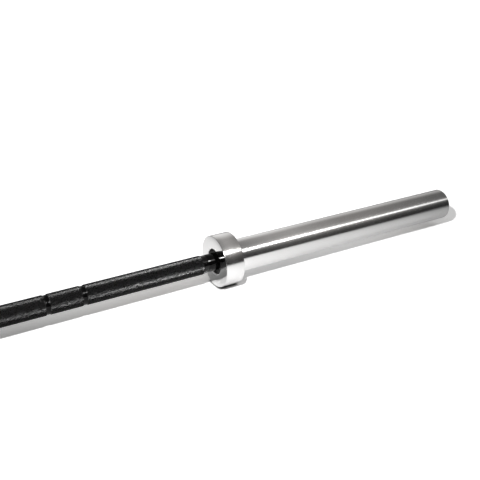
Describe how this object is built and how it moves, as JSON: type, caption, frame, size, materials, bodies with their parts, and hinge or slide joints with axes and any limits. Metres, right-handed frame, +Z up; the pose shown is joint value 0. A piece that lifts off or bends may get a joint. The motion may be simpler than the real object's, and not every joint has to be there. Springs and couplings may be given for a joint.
{
  "type": "barbell",
  "caption": "Straight weightlifting bar: knurled dark steel shaft with ring marks, and a bright plate sleeve with a thick collar that spins freely on each end.",
  "frame": {"origin": "middle of the shaft, on the bar's axis, which is the centre of the whole part", "axes": "+X along the bar towards the right sleeve, which is the one in the picture; +Z up, away from the floor that the collars lie on"},
  "size_m": [2.2, 0.0776, 0.0776],
  "materials": {
    "shaft_steel": "knurled, black oxide",
    "sleeve_steel": "fine turned, bright plated",
    "bushing_bronze": "machined, oiled",
    "spring_steel": "dark, oiled",
    "seal_rubber": "matte"
  },
  "bodies": {
    "shaft": {"shaft": "shaft_steel", "left_inner_thrust_washer": "spring_steel", "left_outer_thrust_washer": "spring_steel", "left_shaft_snap_ring_inner": "spring_steel", "left_shaft_snap_ring_outer": "spring_steel", "right_inner_thrust_washer": "spring_steel", "right_outer_thrust_washer": "spring_steel", "right_shaft_snap_ring_inner": "spring_steel", "right_shaft_snap_ring_outer": "spring_steel"},
    "left_sleeve": {"left_collar": "sleeve_steel", "left_sleeve_tube": "sleeve_steel", "left_dust_seal": "seal_rubber", "left_inner_bushing": "bushing_bronze", "left_outer_bushing": "bushing_bronze", "left_end_cap": "sleeve_steel", "left_end_cap_snap_ring": "spring_steel"},
    "right_sleeve": {"right_collar": "sleeve_steel", "right_sleeve_tube": "sleeve_steel", "right_dust_seal": "seal_rubber", "right_inner_bushing": "bushing_bronze", "right_outer_bushing": "bushing_bronze", "right_end_cap": "sleeve_steel", "right_end_cap_snap_ring": "spring_steel"}
  },
  "joints": [
    {"name": "left_sleeve_spin", "type": "hinge", "parent": "shaft", "child": "left_sleeve", "pos_m": [-0.885, 0, 0], "axis": [1, 0, 0], "continuous": true},
    {"name": "right_sleeve_spin", "type": "hinge", "parent": "shaft", "child": "right_sleeve", "pos_m": [0.885, 0, 0], "axis": [1, 0, 0], "continuous": true}
  ]
}
